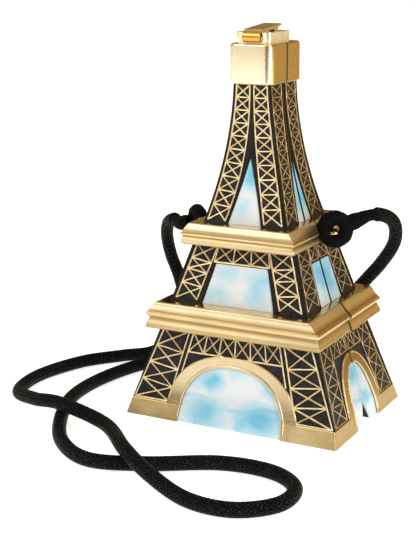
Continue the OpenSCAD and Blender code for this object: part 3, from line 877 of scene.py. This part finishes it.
def inside_bands(lines, bands, face, side, stage, inner, side_inner, levels):
    """Black bands between the columns and the windows, and the gold edges over the arches."""
    def flank_band(s, right, *rest):
        band(bands, Face(levels, "x", s), moved(side_inner, -LINE_GAP, side), right, *rest)

    if stage == "base":
        for s in SIDES:
            band(bands, face, moved(inner, -LINE_GAP, s), moved(inner, -2.2, s), 24, BASE_BANDS_TOP, 0.35)
            edge = [(s * (inner(z) - 2.6), z) for z in (46.2, 42, 38, 34, 30, 25.5)]
            ridge(lines, face, edge, LINE_W * 0.9, LINE_H * 0.9, wobble=EDGE_WOBBLE)
            flank_band(s, moved(side_inner, -1.5, side), 28, BASE_BANDS_TOP, 0.35)
        return
    if stage == "middle":
        top, side_top = 82.4, 83.4
        window, side_window = line(MIDDLE_LOW, 20.2, top, 14.5), line(MIDDLE_LOW, 13, side_top, 11)
    else:
        top, side_top = 136, 139
        window, side_window = line(SPIRE_LOW, 9.2, top, 0.2), line(SPIRE_LOW, 7.6, side_top, 0.3)
    low = levels[0][0] + 0.1
    for s in SIDES:
        band(bands, face, moved(inner, -LINE_GAP, s), moved(window, 0.1, s), low, top, 0.32, 24)
        flank_band(s, moved(side_window, 0.1, side), low, side_top, 0.32, 24)
        band(bands, Face(levels, "x", s), lambda z: side * 0.17, lambda z: side * 0.6, low, side_top, 0.05, 6)
        if stage == "spire":
            flank_band(s, lambda z: side * 0.35, side_top, SPIRE_BANDS_TOP, 0.32)
    if stage == "spire":
        band(bands, face, moved(inner, -LINE_GAP, -1), moved(inner, -LINE_GAP, 1), top, SPIRE_BANDS_TOP, 0.32)


# Heights of the inner and outer edge of the arch bands, how proud the feet stand, and where their tops end.
ARCH_INNER, ARCH_OUTER = 30.8, 36.6
FEET_PROUD, FEET_TOP = 0.6, 9.5
ARCH_STEPS, ARCH_POWER = 48, 2 / 2.3


def arch(w, h):
    """A half oval, a little squarer than an ellipse, from its left foot to its right."""
    points = []
    for i in range(ARCH_STEPS + 1):
        a = math.pi * (1 - i / ARCH_STEPS)
        c = math.cos(a)
        points.append((math.copysign(w * abs(c) ** ARCH_POWER, c), h * math.sin(a) ** ARCH_POWER))
    return points


def make_arch_rims(side, gold):
    """Rolled gold rims along both edges of the arch bands."""
    rims = Build()
    face = Face(BASE_LEVELS, "y", side)

    def rim(where, outline, width, height):
        points = [(u, max(z, 0.6)) for u, z in outline if z > 0.4]
        ridge(rims, where, points, width, height, lift=FEET_PROUD, longest=2.5)

    def half(outline, foot=0.0):
        return [(u, z) for u, z in outline if side * u > 0.6 and z > foot]

    rim(face, arch(29.5 + 0.75, ARCH_INNER + 0.75), 1.5, 0.42)
    rim(face, [(u, z) for u, z in arch(38 - 0.7, ARCH_OUTER - 0.6) if z > FEET_TOP], 0.9, 0.3)
    for s in SIDES:
        flank = Face(BASE_LEVELS, "x", s)
        rim(flank, half(arch(14 + 0.7, ARCH_INNER + 0.7)), 1.3, 0.4)
        rim(flank, half(arch(21.5 - 0.6, ARCH_OUTER - 0.6), FEET_TOP), 0.8, 0.28)
    rims.make(HALF[side] + "_arch_rims", BODY[side], [gold], "brushed_gilt", 60)


# ---- ledges and collar

# Each moulding's profile from its foot up: rise, and how far it stands out at the sides and at the front.
LOWER_PROFILE = [
    (0, -1, -0.8), (0.25, -0.3, -0.2), (0.8, 0, 0), (2.4, -0.5, -0.3), (4.0, -1.2, -1.0), (5.2, -1.75, -1.45),
    (6.0, -1.7, -1.4), (6.35, -1.0, -0.6), (7.0, -0.55, -0.1), (7.7, -0.4, 0.15), (8.3, -0.6, 0.05),
    (8.8, -1.3, -0.5), (9.2, -1.5, -0.7), (10, -2.4, -0.75), (11.2, -3.6, -0.5), (12.6, -4.6, -0.4),
    (13.5, -5.3, -0.55), (14.0, -5.7, -0.9), (14.2, -6.3, -1.5),
]
UPPER_PROFILE = [
    (0, -0.6, -0.5), (0.3, -0.1, -0.05), (0.9, 0, 0), (2.0, 0, -0.05), (3.0, -0.3, -0.4), (3.8, -0.7, -0.8),
    (4.4, -0.2, -0.3), (5.1, 0.3, 0.25), (5.6, 0.1, 0), (6.1, -0.6, -0.7), (6.7, -0.7, -0.8),
    (7.8, -1.3, -1.05), (9.0, -2.2, -1.6), (9.9, -2.9, -2.0), (10.4, -3.3, -2.35), (10.6, -3.8, -2.9),
]

# Painted shade up a moulding, darker gold in its hollows: each share of its height, and a colour or a grey.
SHADED_HOLLOW, HALF_TONE = (0.50, 0.40, 0.22), (0.83, 0.75, 0.60)
LOWER_TINTS = [
    (0.02, SHADED_HOLLOW), (0.09, HALF_TONE), (0.18, 1.0), (0.30, HALF_TONE), (0.39, SHADED_HOLLOW), (0.46, HALF_TONE),
    (0.53, 0.96), (0.59, HALF_TONE), (0.65, SHADED_HOLLOW), (0.72, HALF_TONE), (0.80, 1.0),
]
UPPER_TINTS = [
    (0.02, SHADED_HOLLOW), (0.10, HALF_TONE), (0.19, 1.0), (0.29, HALF_TONE), (0.36, SHADED_HOLLOW), (0.42, HALF_TONE),
    (0.48, 1.0), (0.53, HALF_TONE), (0.58, SHADED_HOLLOW), (0.67, HALF_TONE), (0.78, 0.98),
]

# Each ledge: foot, top, half width and depth at its widest, half width and depth of the stage above, profile.
LEDGES = {"lower": (BASE_TOP, MIDDLE_LOW, (49.2, 41), (38, 31.9), LOWER_PROFILE),
          "upper": (MIDDLE_TOP, 103.0, (31.6, 33.6), (22.7, 24), UPPER_PROFILE)}
LEDGE_CORNER = 0.7
REAR_LEDGE_PROUD = 0.4


def smooth_profile(profile, steps=3):
    """Rounds a moulding's profile between its points."""
    out = []
    for i in range(len(profile) - 1):
        a, b, c, d = (Vector(profile[min(max(k, 0), len(profile) - 1)]) for k in (i - 1, i, i + 1, i + 2))
        out += [tuple(curve_point(a, b, c, d, k / steps)) for k in range(steps)]
    return out + [profile[-1]]


def plan_path(w, d, radius, side, corner_steps=6, ease=0.45, seam=SEAM):
    """Plan of one half of a rounded rectangle, from the seam on the right round to the seam on the left."""
    points = [(w - ease, seam), (w - 0.3 * ease, seam + 0.3 * ease), (w, seam + 1.1 * ease), (w, d - radius)]
    for i in range(1, corner_steps):
        a = math.pi / 2 * i / corner_steps
        points.append((w - radius + radius * math.cos(a), d - radius + radius * math.sin(a)))
    points.append((w - radius, d))
    mirrored = [(-x, y) for x, y in reversed(points)]
    return [(x, side * y) for x, y in points + mirrored]


def make_ledge(which, side, gold, top_shade_gold):
    """One half of a moulding with mitred corners, a polished top in gold painted darker as shade, and eased
    ends at the seam.
    """
    low, high, edge, neck, profile = LEDGES[which]
    proud = REAR_LEDGE_PROUD if which == "lower" and side == REAR else 0.0

    def plan(w, d, z):
        return [(x, y, z) for x, y in plan_path(w, d, LEDGE_CORNER, side)]

    inner = (neck[0] - 0.3, neck[1] - 0.3)
    rows = [plan(*inner, low + 0.02)]
    for dz, dw, dd in smooth_profile(profile):
        rows.append(plan(edge[0] + dw + proud, edge[1] + dd, low + dz))
    rows.append(plan(edge[0] + profile[-1][1] + proud - 0.6, edge[1] + profile[-1][2] - 0.6, high))
    rows.append(plan(*inner, high))
    build = Build()
    # The flat top takes the second material, gold painted darker as shade.
    build.loft(rows, closed=False, caps=False, row_slots=[0] * (len(rows) - 2) + [1])
    for end in (0, -1):
        build.add([row[end] for row in rows], [list(range(len(rows)))])
    name = f"{HALF[side]}_{which}"
    piece = build.make(name + "_moulding", BODY[side], [gold, top_shade_gold], "brushed_gilt", 50)
    weld(piece, 1e-6)
    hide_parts(name + "_ledge")


def weld(piece, distance):
    piece.modifiers.new("weld", "WELD").merge_threshold = distance


def ease_edges(piece, width_mm, segments, angle_deg, harden=False):
    bevel = piece.modifiers.new("eased_edges", "BEVEL")
    bevel.width = width_mm * MM
    bevel.segments = segments
    bevel.limit_method = "ANGLE"
    bevel.angle_limit = math.radians(angle_deg)
    bevel.harden_normals = harden


COLLAR_HALF_W, COLLAR_HALF_D = 24.4 / 2, 36 / 2
COLLAR_CORNER, COLLAR_EASE, COLLAR_SEAM = 4.5, 1.3, 0.42


def make_collar(side, gold):
    """One half of the collar, a block with wide upright corners and eased top and bottom edges."""
    def ring(share, end, way):
        """The plan at a share of the quarter turn of the eased edge at one end of the block."""
        a = math.pi / 2 * share
        inset = COLLAR_EASE * (1 - math.sin(a))
        z = end + way * COLLAR_EASE * (1 - math.cos(a))
        return [(x, y, z) for x, y in plan_path(COLLAR_HALF_W - inset, COLLAR_HALF_D - inset,
                                                COLLAR_CORNER - inset * 0.7, side, 14, 0.6, COLLAR_SEAM)]

    shares = [i / 6 for i in range(7)]
    rows = [ring(t, SPIRE_TOP, 1) for t in shares] + [ring(t, COLLAR_TOP, -1) for t in reversed(shares)]
    piece = lofted(rows, HALF[side] + "_collar_block", BODY[side], [gold], "brushed_gilt", 45)
    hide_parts(HALF[side] + "_collar")


# ---- clasp lever

# The lever's outline from the side: depth, and height above the collar.
LEVER_SIDE = [
    (-14.6, 0.7), (-15.2, 0.5), (-15.9, 0.75), (-16.5, 1.5), (-16.8, 2.6), (-16.75, 3.7), (-16.35, 4.75),
    (-15.6, 5.5), (-15.0, 5.95), (-14.6, 6.6), (-13.9, 7.0), (-12.6, 7.15), (-11, 7.25), (-4, 7.83),
    (3, 8.38), (7.6, 8.75), (8.3, 8.72), (8.6, 8.3), (8.45, 7.8), (7.8, 7.55), (5.1, 7.1), (4.4, 6.2),
    (4.0, 4.4), (3.2, 2.6), (1.8, 2.6), (1.1, 4.2), (0.3, 6.2), (-4, 5.9), (-11.5, 5.3), (-13.6, 5.1),
    (-14.5, 4.4), (-14.75, 3.2),
]


def make_lever(gold):
    """The press lever: a full rounded claw over the catch, and a thin plate that rises to the tail."""
    half = 4.85
    rows = [[(x, y, COLLAR_TOP + z) for y, z in LEVER_SIDE] for x in (-half, -half / 3, half / 3, half)]
    lever = lofted(rows, "press_lever", "clasp_lever", [gold], "polished_gilt", 40)
    ease_edges(lever, 0.4, 4, 60)
    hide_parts("clasp_lever")


def make_spring(material):
    """The small coil under the lever's tail, which shortens as the tail is pressed."""
    radius, wire, turns, middle_y, foot, height = 1.0, 0.25, 5, 6.3, 193.6, 5.8
    steps = 24 * turns
    coil = []
    for i in range(steps + 1):
        a = 2 * math.pi * turns * i / steps
        coil.append(Vector((radius * math.cos(a), middle_y + radius * math.sin(a),
                            foot + wire + (height - 2 * wire) * i / steps)))
    rows, _ = swept(coil, lambda run: wire, sides=10)
    spring = lofted(rows, "return_spring", "rear_half", [material], "spring_steel", 60)
    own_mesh(spring)
    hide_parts("clasp_lever_spring")


# ---- CAD nodes that stay

def finish_node(name, material, bevel_mm=0.0, segments=3):
    """Gives a CAD node its material, and eased edges where it has any."""
    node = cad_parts[name]
    node.data.materials.clear()
    node.data.materials.append(material)
    if bevel_mm:
        weld(node, 2e-6)
        ease_edges(node, bevel_mm, segments, 32, harden=True)


# ---- stage and light

FLOOR_SIZE, FLOOR_GLOW = 14.0, 0.78
TOWER_MIDDLE = Vector((0, 0, 0.1))

# Area lights: place, width and height, and power in watts.
LIGHTS = {"key": ((-0.9, -1.1, 1.3), (0.9, 0.9), 7),
          "top": ((0.1, 0.2, 1.6), (1.2, 1.2), 4),
          "right_strip": ((1.1, -0.5, 0.5), (0.15, 0.9), 8)}

# Reflector cards: middle of the foot, width, height, the way it looks, colour and strength.
CARDS = {"dark_card": ((0.13, -0.50), 0.30, 0.5, (-0.25, 0.97), (0.03, 0.02, 0.01), 1.0),
         "amber_card": ((0.17, 0.19), 0.42, 0.30, (-0.434, -0.867), (0.66, 0.44, 0.15), 0.8)}

# The studio round the tower: the bright direction, and the dark and the bright colour.
WORLD_BRIGHT_WAY = (-0.62, -0.62, 0.48)
WORLD_DARK, WORLD_BRIGHT = (0.27, 0.19, 0.085), (0.66, 0.58, 0.45)


def make_stage():
    """A plain pale floor."""
    bpy.ops.mesh.primitive_grid_add(x_subdivisions=8, y_subdivisions=8, size=FLOOR_SIZE)
    floor = bpy.context.object
    floor.name = "floor"
    m = make_material("floor", Roughness=0.9, Emission_Color=(1, 1, 1, 1), Emission_Strength=FLOOR_GLOW)
    floor.data.materials.append(dress(m, vary(m, noise(m, 3, 2), 0.86, 0.90)))


def make_card(name, centre, width, height, facing, colour, strength):
    """A reflector card, seen only in reflections."""
    mesh = bpy.data.meshes.new(name)
    right = Vector((-facing[1], facing[0], 0)).normalized() * width / 2
    low, high = Vector((*centre, 0.001)), Vector((*centre, height))
    mesh.from_pydata([low - right, low + right, high + right, high - right], [], [(0, 1, 2, 3)])
    mesh.materials.append(make_material(name, Roughness=1.0, Base_Color=(0, 0, 0, 1),
                                        Emission_Color=(*colour, 1), Emission_Strength=strength))
    card = new_object(name, mesh)
    card.visible_camera = card.visible_diffuse = card.visible_shadow = False


def add_light(name, place, size, power):
    data = bpy.data.lights.new(name, "AREA")
    data.shape = "RECTANGLE"
    data.size, data.size_y = size
    data.energy = power
    light = new_object(name, data)
    light.location = place
    light.rotation_euler = (TOWER_MIDDLE - Vector(place)).to_track_quat("-Z", "Y").to_euler()


def make_world():
    """Warm studio light, brighter towards the front left and above."""
    world = bpy.data.worlds.new("studio")
    bpy.context.scene.world = world
    world.use_nodes = True
    facing = add_node(world, "VectorMath", "DOT_PRODUCT")
    feed(world, facing.inputs[0], add_node(world, "TexCoord").outputs["Generated"])
    feed(world, facing.inputs[1], WORLD_BRIGHT_WAY)
    shade = ramp(world, facing.outputs["Value"], [(0.0, WORLD_DARK), (0.8, WORLD_BRIGHT)])
    feed(world, world.node_tree.nodes["Background"].inputs["Color"], shade)


# ---- make it all

make_camera()
bpy.context.scene.view_settings.view_transform = "Standard"
braid, thread = black_braid(), served_thread()
strap, strap_path = make_strap(braid)
strap_pieces = [make_eye(s, thread) for s in SIDES] + [make_neck(s, strap_path, thread) for s in SIDES]

# The collar's side faces take painted shade, a deeper amber.
collar_gilt = brushed_gilt("collar_gilt", (0.90, 0.78, 0.56), (0.95, 0.85, 0.66),
                           flank=((0.77, 0.58, 0.29), 0.97, 0.6))
# The ledges' mouldings take painted shade in their hollows.
ledge_gilt = brushed_gilt("ledge_gilt", (0.78, 0.64, 0.40), (0.87, 0.74, 0.50), 0.1, satin=0.3,
                          hollow_shade=(BASE_TOP, MIDDLE_LOW, LOWER_TINTS))
upper_gilt = brushed_gilt("upper_gilt", (0.80, 0.66, 0.43), (0.88, 0.76, 0.53), 0.1, satin=0.34,
                          hollow_shade=(MIDDLE_TOP, SPIRE_LOW, UPPER_TINTS))
rim_gilt = brushed_gilt("rim_gilt", (0.74, 0.58, 0.31), (0.84, 0.70, 0.42), 0.1)
# The feet: a painted highlight, paler on the arch bands above their foot; painted shade on the faces that
# look to the sides; and wide dull-to-bright clouds, painted as soft highlights of polishing swirls.
feet_gilt = brushed_gilt("feet_gilt", (0.58, 0.41, 0.17), (0.88, 0.73, 0.45), 0.12, (0.84, 0.72, 0.48),
                         flank=((0.42, 0.29, 0.10), 0.8, 0.4))
hinge_gilt = polished_gilt("hinge_gilt", (0.80, 0.68, 0.42), (0.90, 0.80, 0.56))
block_gilt = polished_gilt("block_gilt", (0.92, 0.86, 0.62), (0.97, 0.92, 0.72), 0.62)
ring_gilt = polished_gilt("ring_gilt", (0.46, 0.29, 0.09), (0.68, 0.48, 0.20))
# The ledge tops are painted darker as shade.
top_shade_gilt, lever_shade_gilt = ledge_top_shade_gilt(), claw_shade_gilt()
# Random bright spots on the lattice lines are painted highlights, and darker ones painted shade.
line_gilt = lattice_gilt("lattice_gilt", (0.74, 0.53, 0.24), (0.90, 0.73, 0.43), (0.98, 0.88, 0.66))
# The lattice lines on the side faces are painted darker, as shade.
shaded_side_line_gilt = lattice_gilt("shaded_side_lattice_gilt", (0.34, 0.22, 0.08), (0.56, 0.40, 0.17), (0.86, 0.70, 0.42))
ground, band_black = black_enamel(), black_band()
sky, cloth, steel = sky_enamel(), lining_cloth(), spring_steel()
for half_side in (FRONT, REAR):
    make_lattice(half_side, line_gilt, shaded_side_line_gilt, band_black)
    make_arch_rims(half_side, rim_gilt)
    make_ledge("lower", half_side, ledge_gilt, top_shade_gilt)
    make_ledge("upper", half_side, upper_gilt, top_shade_gilt)
    make_collar(half_side, collar_gilt)
    for node_name, *looks in (
            ("_shell", ground), ("_arch_feet", feet_gilt, 0.7, 4), ("_sky_panels", sky, 0.5, 4),
            ("_lining", cloth), ("_hinge_leaf", hinge_gilt, 0.15), ("_hinge_screws", steel, 0.1)):
        finish_node(HALF[half_side] + node_name, *looks)
finish_node("hinge_pin", steel, 0.2)
finish_node("clasp_catch_block", block_gilt, 0.35)
finish_node("clasp_lever_block", block_gilt, 0.35)
make_lever(lever_shade_gilt)
finish_node("clasp_lever_pin", steel, 0.1)
make_spring(steel)
for ring_side in SIDES:
    finish_node(HAND[ring_side] + "_strap_ring", ring_gilt, 0.2)

make_stage()
make_world()
for card_name, card in CARDS.items():
    make_card(card_name, *card)
for light_name, light in LIGHTS.items():
    add_light(light_name, *light)
